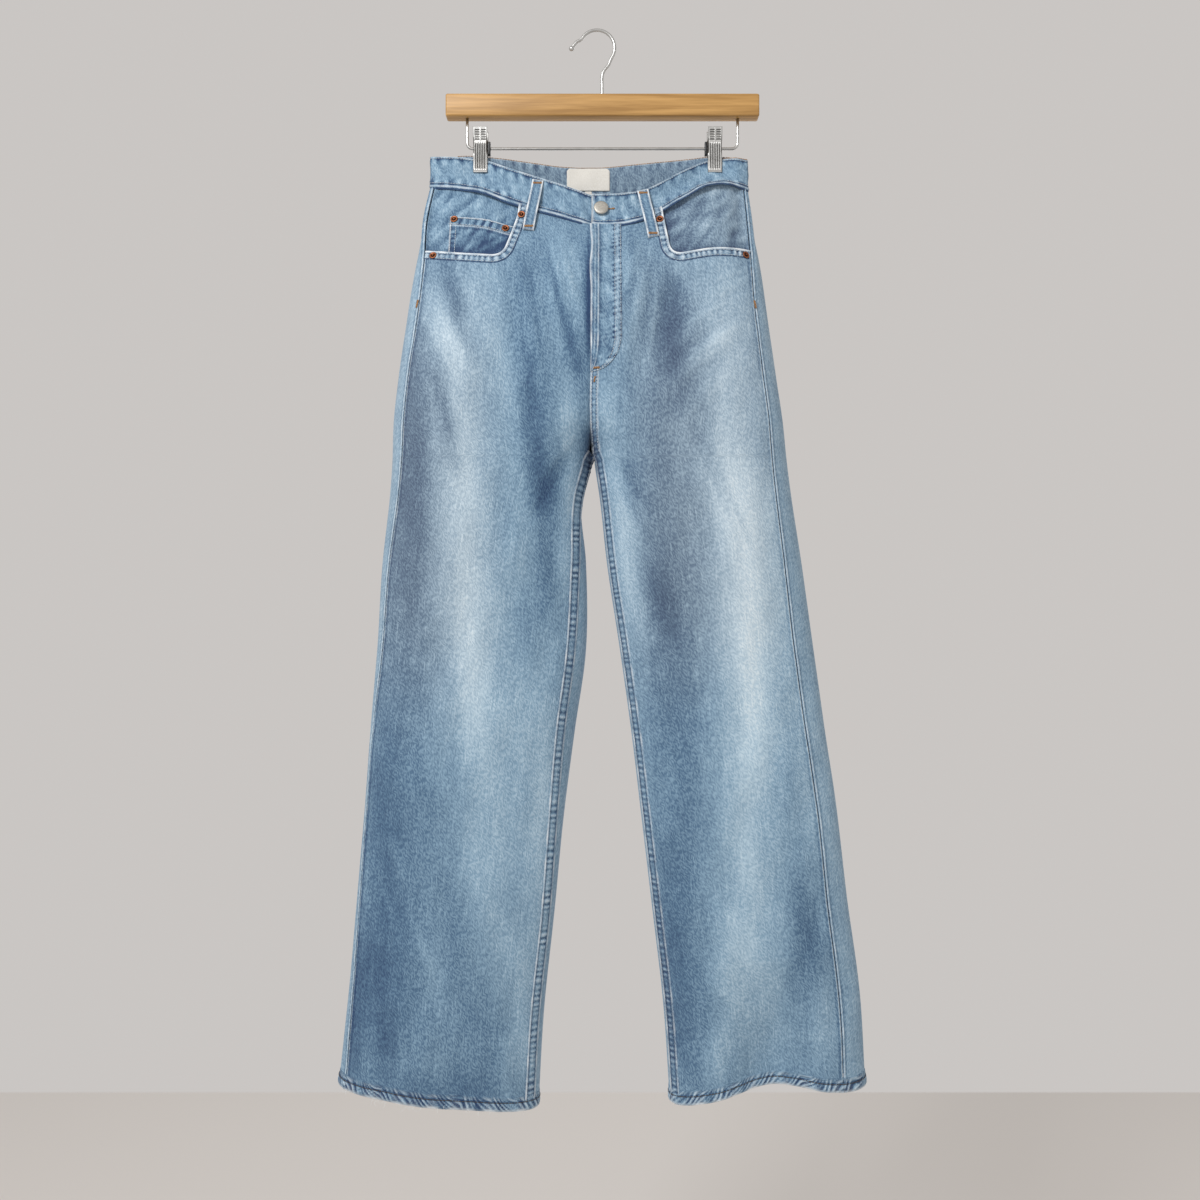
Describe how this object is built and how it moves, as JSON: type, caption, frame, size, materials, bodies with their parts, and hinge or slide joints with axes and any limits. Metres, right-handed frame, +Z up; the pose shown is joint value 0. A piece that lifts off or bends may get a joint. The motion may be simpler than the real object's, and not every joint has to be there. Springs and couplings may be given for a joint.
{
  "type": "wide leg jeans on a clip hanger",
  "caption": "Faded wide leg jeans hung by the waistband from a wooden clip hanger with a wire hook; hollow inside, open at the waist and at both hems.",
  "frame": {"origin": "inside top of the hanger's hook, where the rail or wall hook touches it", "axes": "+Z up; +X towards the wearer's left, along the bar; -Y towards the viewer of the front"},
  "size_m": [0.5849, 0.1148, 1.2086],
  "materials": {
    "denim": "washed twill",
    "label_cloth": "plain woven",
    "pewter": "satin",
    "copper": "worn, darkened copper",
    "beech": "satin varnish",
    "chrome": "polished"
  },
  "bodies": {
    "root": {"front_right": "denim", "front_left": "denim", "back_right": "denim", "back_left": "denim", "yoke_right": "denim", "yoke_left": "denim", "waistband": "denim", "fly": "denim", "pocket_facing_right": "denim", "pocket_facing_left": "denim", "coin_pocket": "denim", "back_pocket_right": "denim", "back_pocket_left": "denim", "belt_loop_front_right": "denim", "belt_loop_front_left": "denim", "belt_loop_side_right": "denim", "belt_loop_side_left": "denim", "belt_loop_back": "denim", "waist_label": "label_cloth", "size_tab": "label_cloth", "waist_button": "pewter", "rivet_right_side": "copper", "rivet_right_waist": "copper", "rivet_coin_outer": "copper", "rivet_coin_inner": "copper", "rivet_left_waist": "copper", "rivet_left_side": "copper", "hanger_bar": "beech", "hanger_hook": "chrome", "hanger_hook_tip": "chrome", "hanger_wire": "chrome", "clip_right_front_jaw": "chrome", "clip_right_back_jaw": "chrome", "clip_right_spring": "chrome", "clip_left_front_jaw": "chrome", "clip_left_back_jaw": "chrome", "clip_left_spring": "chrome"}
  },
  "joints": []
}
